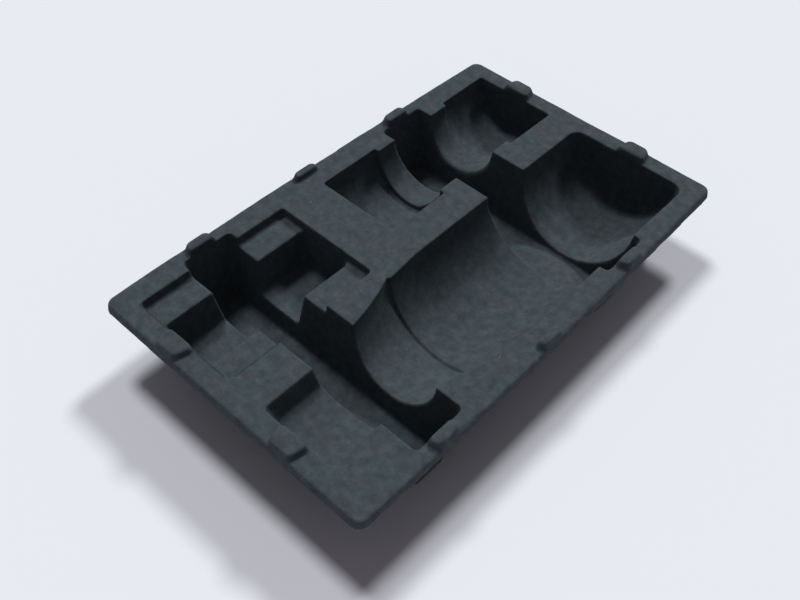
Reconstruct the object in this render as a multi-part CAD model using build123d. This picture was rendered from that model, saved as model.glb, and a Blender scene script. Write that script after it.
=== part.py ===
from build123d import *
from math import radians, tan
import os

# A tray of moulded pulp that cushions round goods lying down in a shipping carton.
# Millimetres. X runs across the tray, Y along it with the slender ends in front at -Y, and Z up.
# The origin is on the ground under the middle of the tray.

# The sheet of pulp
tray_length = 338.5
front_width = 210.0
rear_width = 204.5
side_bow = 1.8  # how far each long side swells out at its middle
tray_height = 50.0  # from the ground to the top of the deck
wall = 2.4
corner_radius = 6.0
lip_depth = 6.0  # how far the edge is turned down below the top of the deck
lip_flare_angle = 10.0  # the turned edge spreads a little towards its foot
edge_round = 2.0
draft_angle = 8.0  # how far the pocket walls lean, so that the tray leaves its mould

# The two cross channels, which reach the ground and leave room for fingers
channel_width = 37.6
channel_corner = 3.0
channel_rim = 9.0  # deck left between the ends of a channel and the sides
front_channel_from_front = 70.0  # front edge of the tray to the middle of the channel
rear_channel_from_back = 92.3

# The round pocket behind on the left
round_axis_inset = 48.7  # from the mean line of the left side to the axis
round_radius = 31.7
round_axis_drop = 1.0  # the trough's axis lies this far under the deck
round_length = 163.5
saddle_radius = 28.0
saddle_width = 16.7
rear_rim = 13.0  # deck left between the rear pockets and the back edge

# The stepped pocket in front on the left
step_axis_inset = 54.6  # likewise
step_width = 80.0
step_length = 113.0
step_depth = 6.3
step_corner = 2.0
slot_width = 41.5
slot_depth = 32.5  # below the deck
slot_round = 3.0  # at the corners and along the floor
front_rim = 14.0  # deck left between the front pockets and the front edge

# The long cradle on the right, a turned shape with a heel behind and a shoulder in front
cradle_axis_inset = 58.8  # from the mean line of the right side to the axis
body_radius = 44.2
body_heel_round = 8.0
body_length = 196.0  # from the heel to the shoulder
waist_radius = 41.6  # the cradle closes in a little before the shoulder
waist_length = 27.0
waist_step = 1.0  # along the cradle, from the waist out to the shoulder
shoulder_radius = 43.4
shoulder_length = 41.0
shoulder_mid_radius = 36.3
shoulder_end_radius = 32.0

# The neck rest in front on the right
neck_width = 52.5
neck_depth = 18.8
neck_floor_radius = 56.0
neck_corner = 3.0
neck_draft_angle = 16.0

# The lugs on the rim, which keep stacked trays apart
lug_height = 4.5
lug_inner_length = 24.0
lug_outer_length = 18.0
lug_inset = 0.3  # from the edge of the deck to the foot of a lug
lug_outer_corner = 4.0
lug_inner_corner = 2.6
lug_draft_angle = 10.0
lug_end_angle = 22.0
channel_lug_shift = 1.5  # towards the front, from the middle of a channel
middle_lug_depth = 6.9
middle_lugs_from_front = 159.5

# Heights, edges and axes that follow
deck = tray_height
front_edge = -tray_length / 2
back_edge = tray_length / 2
mean_half_width = (front_width + rear_width) / 4
round_axis_x = round_axis_inset - mean_half_width
step_axis_x = step_axis_inset - mean_half_width
cradle_axis_x = mean_half_width - cradle_axis_inset
channel_depth = tray_height - wall
front_channel_y = front_edge + front_channel_from_front
rear_channel_y = back_edge - rear_channel_from_back
pocket_back = back_edge - rear_rim
pocket_front = front_edge + front_rim
headroom = lug_height + 1.0  # the spaces are cut open this far above the deck
overlap = 1.0  # how far forms that meet run into each other


def lean(depth, angle=draft_angle):
    """How far a drafted wall moves inwards over a depth."""
    return depth * tan(radians(angle))


def side_x(y):
    """Half the width of the bowed and tapering deck at a place along the tray."""
    along = y / back_edge
    straight = mean_half_width - along * (front_width - rear_width) / 4
    return straight + side_bow * (1 - along**2)


def deck_outline(inset=0.0):
    """The tray seen from above: straight ends and bowed sides, with rounded corners."""
    front_half = front_width / 2 - inset
    rear_half = rear_width / 2 - inset
    middle = side_x(0) - inset
    front = front_edge + inset
    back = back_edge - inset
    with BuildSketch() as outline:
        with BuildLine():
            Line((-front_half, front), (front_half, front))
            ThreePointArc((front_half, front), (middle, 0), (rear_half, back))
            Line((rear_half, back), (-rear_half, back))
            ThreePointArc((-rear_half, back), (-middle, 0), (-front_half, front))
        make_face()
        fillet(outline.vertices(), corner_radius - inset)
    return outline.sketch


def lean_sides(block, height, angle):
    """Leans the upright sides of a block, which keep their places at one height."""
    sides = block.faces().filter_by(Axis.Z, reverse=True)
    return draft(sides, Plane.XY.offset(height), angle)


def slanted_edges(block):
    """The edges that run from the block's top to its bottom."""
    return block.edges().filter_by(lambda edge: abs(edge.tangent_at(0).Z) > 0.5)


def deck_and_lip():
    """The flat deck with its edge turned down all round, spreading a little towards its foot."""
    foot = Pos(0, 0, deck - lip_depth)
    blank = lean_sides(extrude(foot * deck_outline(), lip_depth), deck, lip_flare_angle)
    blank = fillet(blank.faces().sort_by(Axis.Z)[-1].edges(), edge_round)
    hollow = extrude(foot * deck_outline(wall), lip_depth - wall)
    return blank - lean_sides(hollow, deck, lip_flare_angle)


def tapered_form(x, y, size, depth, rounding, grow, mouth=deck, angle=draft_angle, soft_floor=False):
    """A box with drafted walls under its mouth. Grow is 0 for a space, or the wall around it."""
    width, length = size
    outline = Pos(x, y, mouth) * Rectangle(width + 2 * grow, length + 2 * grow)
    form = lean_sides(extrude(outline, -depth - grow), mouth, -angle)
    rounded = slanted_edges(form)
    if soft_floor:
        rounded += form.faces().sort_by(Axis.Z)[0].edges()
    form = fillet(rounded, rounding + grow)
    if not grow:
        form += extrude(form.faces().sort_by(Axis.Z)[-1], deck + headroom - mouth)
    return form


def round_form(x, start, end, radius, grow):
    """A half-round trough along Y with upright sides above its axis."""
    r = radius + grow
    top = deck if grow else deck + headroom
    axis = deck - round_axis_drop
    with BuildSketch(Plane.XZ.offset(-(start - grow))) as section:
        with BuildLine():
            Polyline((x - r, axis), (x - r, top), (x + r, top), (x + r, axis))
            ThreePointArc((x + r, axis), (x, axis - r), (x - r, axis))
        make_face()
    return extrude(section.sketch, -(end - start + 2 * grow))


def channel_forms(grow):
    """The two cross channels, from one side of the tray to the other."""
    forms = []
    for y in (front_channel_y, rear_channel_y):
        size = (2 * (side_x(y) - channel_rim), channel_width)
        forms.append(tapered_form(0, y, size, channel_depth, channel_corner, grow))
    return forms


def round_pocket_forms(grow):
    """Troughs at both ends of the round pocket, and a narrower saddle on each channel side."""
    start = pocket_back - round_length
    channel_front = rear_channel_y - channel_width / 2
    channel_back = rear_channel_y + channel_width / 2
    reach = lean(channel_depth) + overlap
    front_saddle = channel_front - saddle_width
    rear_saddle = channel_back + saddle_width
    return [
        round_form(round_axis_x, start, front_saddle, round_radius, grow),
        round_form(round_axis_x, front_saddle - overlap, channel_front + reach, saddle_radius, grow),
        round_form(round_axis_x, channel_back - reach, rear_saddle + overlap, saddle_radius, grow),
        round_form(round_axis_x, rear_saddle, pocket_back, round_radius, grow),
    ]


def stepped_pocket_forms(grow):
    """A shallow step with a deep slot along its middle."""
    y = pocket_front + step_length / 2
    size = (step_width, step_length)
    step = tapered_form(step_axis_x, y, size, step_depth, step_corner, grow)
    slot_size = (slot_width, step_length - 2 * lean(step_depth))
    mouth = deck - step_depth
    depth = slot_depth - step_depth
    slot = tapered_form(step_axis_x, y, slot_size, depth, slot_round, grow, mouth, soft_floor=True)
    return [step, slot]


def cradle_form(grow):
    """The long cradle: a profile of heel, body, waist and shoulder, turned about its axis."""
    heel = pocket_back + grow
    shoulder = pocket_back - body_length
    shoulder_end = shoulder - shoulder_length
    end = shoulder_end - lean(channel_depth) - overlap
    body = body_radius + grow
    round_heel = body_heel_round + grow
    with BuildSketch(Plane.XY) as half:
        with BuildLine():
            Line((0, heel), (body - round_heel, heel))
            RadiusArc((body - round_heel, heel), (body, heel - round_heel), round_heel)
            Line((body, heel - round_heel), (body, shoulder + waist_length))
            Line((body, shoulder + waist_length), (waist_radius + grow, shoulder + waist_step))
            Line((waist_radius + grow, shoulder + waist_step), (shoulder_radius + grow, shoulder))
            ThreePointArc(
                (shoulder_radius + grow, shoulder),
                (shoulder_mid_radius + grow, shoulder - shoulder_length / 2),
                (shoulder_end_radius + grow, shoulder_end),
            )
            Polyline(
                (shoulder_end_radius + grow, shoulder_end),
                (shoulder_end_radius + grow, end),
                (0, end),
                (0, heel),
            )
        make_face()
    form = revolve(half.sketch, Axis.Y)
    return Pos(cradle_axis_x, 0, deck) * form


def neck_form(grow):
    """The neck rest: drafted walls and a gently hollowed floor, open to the front channel."""
    end = front_channel_y - channel_width / 2 + lean(channel_depth) + overlap
    length = end - pocket_front
    y = pocket_front + length / 2
    size = (neck_width, length)
    box = tapered_form(cradle_axis_x, y, size, neck_depth, neck_corner, grow, angle=neck_draft_angle)
    hollow = Cylinder(neck_floor_radius + grow, 2 * tray_length, rotation=(90, 0, 0))
    return box & Pos(cradle_axis_x, 0, deck - neck_depth + neck_floor_radius) * hollow


def lug(depth):
    """A low block on the rim, longer at its inner side. Its outer foot lies along Y = 0."""
    plan = Polygon(
        (-lug_outer_length / 2, 0),
        (lug_outer_length / 2, 0),
        (lug_inner_length / 2, depth),
        (-lug_inner_length / 2, depth),
        align=None,
    )
    root = Pos(0, 0, -edge_round) * plan
    block = extrude(root, lug_height + edge_round)
    block = draft(block.faces().filter_by(Axis.Y), Plane.XY, lug_draft_angle)
    ends = block.faces().filter_by(lambda face: abs(face.normal_at().X) > 0.5)
    block = draft(ends, Plane.XY, lug_end_angle)
    uprights = slanted_edges(block).sort_by(Axis.Y)
    block = fillet(uprights[:2], lug_outer_corner)
    uprights = slanted_edges(block).sort_by(Axis.Y)
    return fillet(uprights[-2:], lug_inner_corner)


def rim_lugs():
    """Lugs at the ends of the channels, halfway along the sides, and at the ends of the lanes."""
    lugs = []
    middle_y = front_edge + middle_lugs_from_front
    channel_lug_depth = channel_rim - lug_inset
    side_places = (
        (front_channel_y - channel_lug_shift, channel_lug_depth),
        (middle_y, middle_lug_depth),
        (rear_channel_y - channel_lug_shift, channel_lug_depth),
    )
    for y, depth in side_places:
        x = side_x(y) - lug_inset
        lugs.append(Pos(x, y, deck) * Rot(0, 0, 90) * lug(depth))
        lugs.append(Pos(-x, y, deck) * Rot(0, 0, -90) * lug(depth))
    for x in (step_axis_x, cradle_axis_x):
        lugs.append(Pos(x, front_edge + lug_inset, deck) * lug(front_rim - lug_inset))
    for x in (round_axis_x, cradle_axis_x):
        lugs.append(
            Pos(x, back_edge - lug_inset, deck) * Rot(0, 0, 180) * lug(rear_rim - lug_inset)
        )
    return lugs


def pocket_forms(grow):
    """Every pocket: the spaces with grow 0, or their outsides with the wall added."""
    forms = channel_forms(grow)
    forms += round_pocket_forms(grow)
    forms += stepped_pocket_forms(grow)
    forms.append(cradle_form(grow))
    forms.append(neck_form(grow))
    return forms


def pulp_tray():
    """The whole moulding: deck, lip and lugs, with the pocket walls hanging below the deck."""
    tray = deck_and_lip()
    below_deck = Pos(0, 0, deck / 2) * Box(front_width, tray_length, deck)
    outsides = Part() + pocket_forms(wall)
    tray += outsides & below_deck
    tray += rim_lugs()
    tray -= pocket_forms(0)
    return tray


os.makedirs("parts", exist_ok=True)
tray = pulp_tray()
tray.label = "pulp_tray"
export_step(tray, "parts/pulp_tray.step")
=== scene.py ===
from math import hypot, radians, tan

import bmesh
import bpy
from mathutils import Matrix, Vector, noise


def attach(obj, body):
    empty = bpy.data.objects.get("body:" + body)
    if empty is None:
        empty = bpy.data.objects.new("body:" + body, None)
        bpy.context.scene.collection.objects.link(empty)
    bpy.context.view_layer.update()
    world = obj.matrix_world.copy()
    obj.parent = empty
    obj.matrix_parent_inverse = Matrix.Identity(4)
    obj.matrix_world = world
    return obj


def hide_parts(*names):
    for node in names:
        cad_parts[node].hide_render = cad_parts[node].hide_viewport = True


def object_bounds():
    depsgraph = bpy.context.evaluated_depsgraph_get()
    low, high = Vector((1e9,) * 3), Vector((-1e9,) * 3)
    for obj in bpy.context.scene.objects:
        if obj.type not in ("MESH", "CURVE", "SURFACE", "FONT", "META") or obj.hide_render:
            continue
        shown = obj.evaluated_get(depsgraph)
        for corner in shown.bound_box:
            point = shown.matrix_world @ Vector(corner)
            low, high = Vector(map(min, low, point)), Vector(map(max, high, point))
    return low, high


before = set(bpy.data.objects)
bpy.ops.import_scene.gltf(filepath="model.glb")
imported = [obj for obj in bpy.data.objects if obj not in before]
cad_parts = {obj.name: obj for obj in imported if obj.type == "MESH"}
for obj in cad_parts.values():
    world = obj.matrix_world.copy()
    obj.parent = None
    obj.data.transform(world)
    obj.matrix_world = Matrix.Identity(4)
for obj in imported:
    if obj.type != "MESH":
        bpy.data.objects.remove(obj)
cad_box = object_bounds()

# Metres, in the same frame as the model: X across the tray, Y along it and Z up.
MM = 0.001

# The view
camera_place = Vector((0.2600, -0.3213, 0.4717))
camera_forward = Vector((-0.4317, 0.4912, -0.7565))
camera_roll = radians(1.95)
camera_lens = 42.3  # millimetres
farthest_seen = 100

# The light: where each lamp shines from, its strength and how broad it is
lamps = {
    "main_light": (Vector((-0.51, 0.20, 1.0)), 1.60, radians(13)),
    "back_light": (Vector((-0.24, 0.96, 1.0)), 1.68, radians(10)),
}
sky_colour = (1.0, 0.91, 0.98, 1.0)
sky_strength = 0.115
backdrop_colour = (0.863, 0.888, 0.947, 1.0)
floor_size = 12.0
floor_drop = 0.1 * MM  # keeps the floor just clear of the feet

# The remeshed moulding
voxel = 0.7 * MM
smoothing_strength = 0.5
smoothing_passes = 5
triangle_limit = 190000
deck = 50 * MM
wall_lean = tan(radians(8))

# The round pocket: its axis (X and Z), its saddles and its troughs
round_axis = (-54.9 * MM, 49.0 * MM)
saddle_radius = 28.0 * MM
trough_radius = 31.7 * MM
saddle_top = 45 * MM
saddle_fade = 8 * MM  # changes to the saddles grow to their full size over this depth

# The front saddle's right flank stands in from its half round
flank_in = 2.3 * MM
flank_skin = 1 * MM  # this much behind the face moves with it
flank_y = (41.45 * MM, 64 * MM)
flank_start = (0.9 * MM, 0.1 * MM)  # how far before the front edge it begins and is whole
flank_across = (8 * MM, 19 * MM)  # it grows between these distances to the right of the axis
flank_below = (3 * MM, 13 * MM)  # and between these depths below it
flank_least = 0.15  # its share above them

# The rear saddle runs into the trough behind it
rear_saddle = (95.75 * MM, 112.45 * MM)  # its edge over the channel, at the deck, and its rear edge
run_in = (102 * MM, 125 * MM)
step_half_length = 1.2 * MM  # of the remeshed step
shell_reach = 4 * MM  # this much behind the trough's face moves with it

# The wear, from 0 to 1: slight on the lugs and in the pockets, full on the rear saddle's edges
wear_passes = 80
slight_wear = 0.12
lug_foot = 50.8 * MM
pockets_top = 45 * MM
pockets_half_width = 98 * MM
pockets_half_length = 160 * MM
saddle_half_width = 27.5 * MM
edge_reach = 6 * MM

# The uneven surface of dried pulp: how long its waves are and how far they reach
broad_swell = 34 * MM
narrow_swell = 13 * MM
narrow_share = 0.5
swell_height = 0.22 * MM
lump_size = 4.2 * MM
lump_offset = Vector((7, 3, 5))
lump_height = 0.07 * MM
lump_height_beneath = 0.10 * MM
underside_slope = 0.2  # where the normal's Z is less than this, the rough underside begins
lip_foot = 44 * MM
foot_reach = 2.0 * MM
foot_wave = 9 * MM
foot_height = 0.45 * MM

# The ends of the painted shade lines on the deck: dark strips painted along the step pocket's edges,
# where shade falls behind its low walls
shade_lines = (
    ((-88 * MM, -155.5 * MM), (-13 * MM, -155.5 * MM)),
    ((-8.8 * MM, -151 * MM), (-8.8 * MM, -119 * MM)),
)
shade_line_half_depth = 0.5 * MM
shade_line_fade = 1.6 * MM
shade_line_darkness = 0.5

# The pulp's colours, from dark to pale, and the tints on them
pulp_shades = ((0.034, 0.044, 0.051, 1.0), (0.0558, 0.0711, 0.0805, 1.0), (0.089, 0.109, 0.120, 1.0))
tints = ((0.88, 1.05, 0.99, 1.0), (1.0, 1.0, 1.0, 1.0), (1.12, 0.95, 1.02, 1.0))
speck_colour = (0.12, 0.135, 0.14, 1.0)
pulp_roughness = 0.95
pulp_gloss = 0.1

# The pulp's textures: scale, detail, roughness and distortion, and where their colours lie.
# The fibres' share of the colour wanders between two values.
mottle_noise = (160, 5, 0.6, 0.0)
mottle_stops = (0.34, 0.5, 0.68)
fibre_noise = (900, 4, 0.7, 1.5)
fibre_stops = (0.17, 0.5, 0.88)
share_noise = (20, 2, 0.5, 0.0)
fibre_share = (0.35, 0.65)
tint_noise = (150, 4, 0.75, 0.0)
tint_stops = (0.3, 0.5, 0.7)
speck_scale = 70
speck_stops = (0.03, 0.08)
speck_strength = (0.4, 0.0)

# The bumps in the pulp: texture, strength and height
felt_noise = (1100, 5, 0.7, 1.0)
felt_strength = 0.24
felt_height = 0.25 * MM
clot_noise = (320, 4, 0.6, 0.0)
clot_strength = 0.5
clot_height = 0.5 * MM


def clamp(value):
    """The value, held between 0 and 1."""
    return min(max(value, 0.0), 1.0)


def smooth_step(value, low, high):
    """A smooth rise from 0 at low to 1 at high."""
    share = clamp((value - low) / (high - low))
    return share * share * (3 - 2 * share)


def apply_modifiers(thing):
    """Replaces the thing's mesh by its modified one."""
    depsgraph = bpy.context.evaluated_depsgraph_get()
    mesh = bpy.data.meshes.new_from_object(thing.evaluated_get(depsgraph))
    thing.modifiers.clear()
    thing.data = mesh


def from_round_axis(place):
    """How far a place lies across and above the round pocket's axis, and its distance from it."""
    across = place.x - round_axis[0]
    above = place.z - round_axis[1]
    return across, above, hypot(across, above)


def move_from_round_axis(vertex, distance):
    """Moves a vertex straight away from the round pocket's axis."""
    across, above, radius = from_round_axis(vertex.co)
    vertex.co.x += across / radius * distance
    vertex.co.z += above / radius * distance


def below_saddle_top(place):
    """How far a place lies below the top of the saddles, from 0 to 1."""
    return clamp((saddle_top - place.z) / saddle_fade)


def fill_flank(mesh):
    """Brings the right flank of the front saddle further in, as it is flatter there than a half round."""
    front, back = flank_y
    before, whole = flank_start
    for vertex in mesh.vertices:
        place = vertex.co
        across, above, radius = from_round_axis(place)
        if across < 0 or radius > trough_radius or not front - flank_skin < place.y < back:
            continue
        share = smooth_step(across, *flank_across)
        share *= flank_least + (1 - flank_least) * smooth_step(-above, *flank_below)
        share *= 1 - smooth_step(radius, saddle_radius + flank_skin, trough_radius)
        share *= smooth_step(place.y, front - before, front - whole)
        move_from_round_axis(vertex, -flank_in * share)


def run_saddle_in(mesh):
    """Spreads the step behind the rear saddle, so that the saddle runs gently into the trough."""
    step = trough_radius - saddle_radius
    step_front = rear_saddle[1] - step_half_length
    step_back = rear_saddle[1] + step_half_length
    for vertex in mesh.vertices:
        place = vertex.co
        radius = from_round_axis(place)[2]
        if not run_in[0] < place.y < run_in[1] or radius > trough_radius + shell_reach:
            continue
        wanted = smooth_step(place.y, *run_in)
        made = smooth_step(place.y, step_front, step_back)
        move_from_round_axis(vertex, step * below_saddle_top(place) * (wanted - made))


def wear_at(place):
    """How far the moulding is worn round at a place, from 0 to 1."""
    inside = abs(place.x) < pockets_half_width and abs(place.y) < pockets_half_length
    in_pocket = inside and place.z < pockets_top
    share = slight_wear if in_pocket or place.z > lug_foot else 0.0
    if abs(place.x - round_axis[0]) < saddle_half_width:
        leaned_front = rear_saddle[0] - (deck - place.z) * wall_lean
        for edge in (leaned_front, rear_saddle[1]):
            near = max(1 - abs(place.y - edge) / edge_reach, 0.0)
            share = max(share, below_saddle_top(place) * near)
    return share


def smooth(thing, name, passes):
    """Adds a smoothing modifier."""
    soften = thing.modifiers.new(name, "SMOOTH")
    soften.factor = smoothing_strength
    soften.iterations = passes
    return soften


def wear_edges(tray):
    """Rounds the lugs, the pockets' edges and, most of all, the rear saddle's edges."""
    group = tray.vertex_groups.new(name="worn")
    for vertex in tray.data.vertices:
        share = wear_at(vertex.co)
        if share > 0:
            group.add([vertex.index], share, "REPLACE")
    smooth(tray, "wear", wear_passes).vertex_group = group.name
    apply_modifiers(tray)
    tray.vertex_groups.clear()


def swells(place):
    """Slow swells that drying leaves in the pulp."""
    return noise.noise(place / broad_swell) + narrow_share * noise.noise(place / narrow_swell)


def lumps(place):
    """Clots of fibre a few millimetres across, from -1 to 1."""
    return noise.noise(place / lump_size + lump_offset)


def roughen(mesh):
    """Moves the surface along its normals, more on the rough underside, and keeps the feet flat."""
    moves = []
    for vertex in mesh.vertices:
        beneath = clamp(underside_slope - vertex.normal.z)
        swell = swell_height * swells(vertex.co)
        grain = (lump_height + lump_height_beneath * beneath) * lumps(vertex.co)
        moves.append(vertex.normal * (swell + grain))
    for vertex, move in zip(mesh.vertices, moves):
        vertex.co += move
        vertex.co.z = max(vertex.co.z, 0.0)


def ragged_foot(mesh):
    """The foot of the turned edge, where the pulp was trimmed, wanders up and down a little."""
    for vertex in mesh.vertices:
        place = vertex.co
        share = 1 - abs(place.z - lip_foot) / foot_reach
        if share > 0:
            along = Vector((place.x, place.y, 0))
            vertex.co.z += foot_height * share * noise.noise(along / foot_wave)


def thin_out(tray):
    """Brings the remeshed squares down to the number of triangles that is allowed."""
    triangles = 2 * len(tray.data.polygons)
    thin = tray.modifiers.new("thin", "DECIMATE")
    thin.ratio = min(1.0, triangle_limit / triangles)
    thin.use_collapse_triangulate = True
    apply_modifiers(tray)


def moulded_tray():
    """The whole moulding with softly rounded edges and an uneven, fibrous surface."""
    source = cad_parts["pulp_tray"]
    tray = bpy.data.objects.new("moulded_pulp", source.data.copy())
    bpy.context.scene.collection.objects.link(tray)
    remesh = tray.modifiers.new("remesh", "REMESH")
    remesh.mode = "VOXEL"
    remesh.voxel_size = voxel
    smooth(tray, "soften", smoothing_passes)
    apply_modifiers(tray)
    fill_flank(tray.data)
    run_saddle_in(tray.data)
    wear_edges(tray)
    roughen(tray.data)
    ragged_foot(tray.data)
    thin_out(tray)
    tray.data.shade_smooth()
    tray.data.materials.clear()
    tray.data.materials.append(pulp_material())
    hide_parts("pulp_tray")
    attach(tray, "root")


def add_node(tree, kind, inputs, **settings):
    """A new node with its settings made, and each input linked to a socket or set to a constant."""
    node = tree.nodes.new(kind)
    for name, value in settings.items():
        setattr(node, name, value)
    for name, value in inputs.items():
        if isinstance(value, bpy.types.NodeSocket):
            tree.links.new(value, node.inputs[name])
        else:
            node.inputs[name].default_value = value
    return node


def noise_at(tree, place, scale, detail, roughness, distortion):
    """A noise texture's value."""
    inputs = {
        "Vector": place,
        "Scale": scale,
        "Detail": detail,
        "Roughness": roughness,
        "Distortion": distortion,
    }
    return add_node(tree, "ShaderNodeTexNoise", inputs).outputs["Fac"]


def ramp(tree, value, stops, colours):
    """The value turned into colours, each at its stop."""
    node = add_node(tree, "ShaderNodeValToRGB", {"Fac": value})
    first, last = node.color_ramp.elements
    first.position, first.color = stops[0], colours[0]
    last.position, last.color = stops[-1], colours[-1]
    for stop, colour in zip(stops[1:-1], colours[1:-1]):
        node.color_ramp.elements.new(stop).color = colour
    return node.outputs["Color"]


def greys(values):
    """Grey colours."""
    return [(value, value, value, 1.0) for value in values]


def blend(tree, factor, first, second, way="MIX"):
    """Two colours mixed, or multiplied, by a factor."""
    inputs = {"Factor": factor, "A": first, "B": second}
    node = add_node(tree, "ShaderNodeMix", inputs, data_type="RGBA", blend_type=way)
    return node.outputs["Result"]


def vector_math(tree, operation, *inputs, result="Vector"):
    """A sum on vectors."""
    node = add_node(tree, "ShaderNodeVectorMath", dict(enumerate(inputs)), operation=operation)
    return node.outputs[result]


def painted_shade_factor(tree, place, start, end):
    """A factor on the colour that paints shade: dark on the line from start to end, and 1 away from it.
    """
    middle = [(a + b) / 2 for a, b in zip(start, end)] + [deck]
    half = [abs(a - b) / 2 for a, b in zip(start, end)] + [shade_line_half_depth]
    offset = vector_math(tree, "SUBTRACT", place, middle)
    size = vector_math(tree, "ABSOLUTE", offset)
    beyond = vector_math(tree, "SUBTRACT", size, half)
    outside = vector_math(tree, "MAXIMUM", beyond, (0, 0, 0))
    distance = vector_math(tree, "LENGTH", outside, result="Value")
    inputs = {"Value": distance, "From Max": shade_line_fade, "To Min": shade_line_darkness}
    node = add_node(tree, "ShaderNodeMapRange", inputs, interpolation_type="SMOOTHSTEP")
    return node.outputs["Result"]


def pulp_colour(tree, place):
    """Mottled colour with pale and dark fibres, tints, pale specks and the painted shade lines along the
    step's edges.
    """
    mottle = ramp(tree, noise_at(tree, place, *mottle_noise), mottle_stops, pulp_shades)
    fibres = ramp(tree, noise_at(tree, place, *fibre_noise), fibre_stops, pulp_shades)
    share = ramp(tree, noise_at(tree, place, *share_noise), (0.0, 1.0), greys(fibre_share))
    colour = blend(tree, share, mottle, fibres)
    tint = ramp(tree, noise_at(tree, place, *tint_noise), tint_stops, tints)
    colour = blend(tree, 1.0, colour, tint, "MULTIPLY")
    specks = add_node(tree, "ShaderNodeTexVoronoi", {"Vector": place, "Scale": speck_scale})
    speck = ramp(tree, specks.outputs["Distance"], speck_stops, greys(speck_strength))
    colour = blend(tree, speck, colour, speck_colour)
    # Painted shade: each line darkens the colour along one edge of the step pocket
    for start, end in shade_lines:
        colour = blend(tree, 1.0, colour, painted_shade_factor(tree, place, start, end), "MULTIPLY")
    return colour


def pulp_normal(tree, place):
    """Fine felted fibres on small clots."""
    felt = add_node(tree, "ShaderNodeBump", {
        "Strength": felt_strength,
        "Distance": felt_height,
        "Height": noise_at(tree, place, *felt_noise),
    })
    clots = add_node(tree, "ShaderNodeBump", {
        "Strength": clot_strength,
        "Distance": clot_height,
        "Height": noise_at(tree, place, *clot_noise),
        "Normal": felt.outputs["Normal"],
    })
    return clots.outputs["Normal"]


def pulp_material():
    """Dark matt moulded pulp."""
    material = bpy.data.materials.new("moulded_pulp")
    material.use_nodes = True
    tree = material.node_tree
    shader = tree.nodes["Principled BSDF"]
    place = tree.nodes.new("ShaderNodeTexCoord").outputs["Object"]
    shader.inputs["Roughness"].default_value = pulp_roughness
    shader.inputs["Specular IOR Level"].default_value = pulp_gloss
    tree.links.new(pulp_colour(tree, place), shader.inputs["Base Color"])
    tree.links.new(pulp_normal(tree, place), shader.inputs["Normal"])
    return material


def camera():
    """The photograph's view, a little rolled as it was held."""
    data = bpy.data.cameras.new("camera")
    data.lens = camera_lens
    data.clip_end = farthest_seen
    eye = bpy.data.objects.new("camera", data)
    bpy.context.scene.collection.objects.link(eye)
    turn = camera_forward.to_track_quat("-Z", "Y").to_matrix() @ Matrix.Rotation(camera_roll, 3, "Z")
    eye.matrix_world = Matrix.Translation(camera_place) @ turn.to_4x4()
    bpy.context.scene.camera = eye


def lights():
    """Two broad soft lights from above, one at the left and one behind."""
    for name, (shines_from, strength, breadth) in lamps.items():
        data = bpy.data.lights.new(name, "SUN")
        data.energy = strength
        data.angle = breadth
        lamp = bpy.data.objects.new(name, data)
        bpy.context.scene.collection.objects.link(lamp)
        lamp.rotation_euler = shines_from.to_track_quat("Z", "Y").to_euler()


def sky():
    """An even dim fill. The camera, mirrors and glass see the pale backdrop in its place."""
    world = bpy.data.worlds.new("sky")
    world.use_nodes = True
    bpy.context.scene.world = world
    tree = world.node_tree
    fill = tree.nodes["Background"]
    fill.inputs["Color"].default_value = sky_colour
    fill.inputs["Strength"].default_value = sky_strength
    backdrop = add_node(tree, "ShaderNodeBackground", {"Color": backdrop_colour})
    rays = tree.nodes.new("ShaderNodeLightPath").outputs
    seen = rays["Is Camera Ray"]
    for ray in ("Is Glossy Ray", "Is Transmission Ray"):
        larger = add_node(tree, "ShaderNodeMath", {0: seen, 1: rays[ray]}, operation="MAXIMUM")
        seen = larger.outputs["Value"]
    inputs = {"Fac": seen, 1: fill.outputs["Background"], 2: backdrop.outputs["Background"]}
    mixed = add_node(tree, "ShaderNodeMixShader", inputs)
    tree.links.new(mixed.outputs["Shader"], tree.nodes["World Output"].inputs["Surface"])


def floor():
    """A plain pale floor, which keeps the tray's shadow."""
    mesh = bpy.data.meshes.new("floor")
    shape = bmesh.new()
    bmesh.ops.create_grid(shape, x_segments=1, y_segments=1, size=floor_size / 2)
    shape.to_mesh(mesh)
    shape.free()
    material = bpy.data.materials.new("floor")
    material.use_nodes = True
    shader = material.node_tree.nodes["Principled BSDF"]
    shader.inputs["Base Color"].default_value = backdrop_colour
    shader.inputs["Roughness"].default_value = 1.0
    shader.inputs["Specular IOR Level"].default_value = 0.0
    mesh.materials.append(material)
    ground = bpy.data.objects.new("floor", mesh)
    bpy.context.scene.collection.objects.link(ground)
    ground.location.z = cad_box[0][2] - floor_drop


bpy.context.scene.view_settings.view_transform = "Standard"
camera()
lights()
sky()
floor()
moulded_tray()
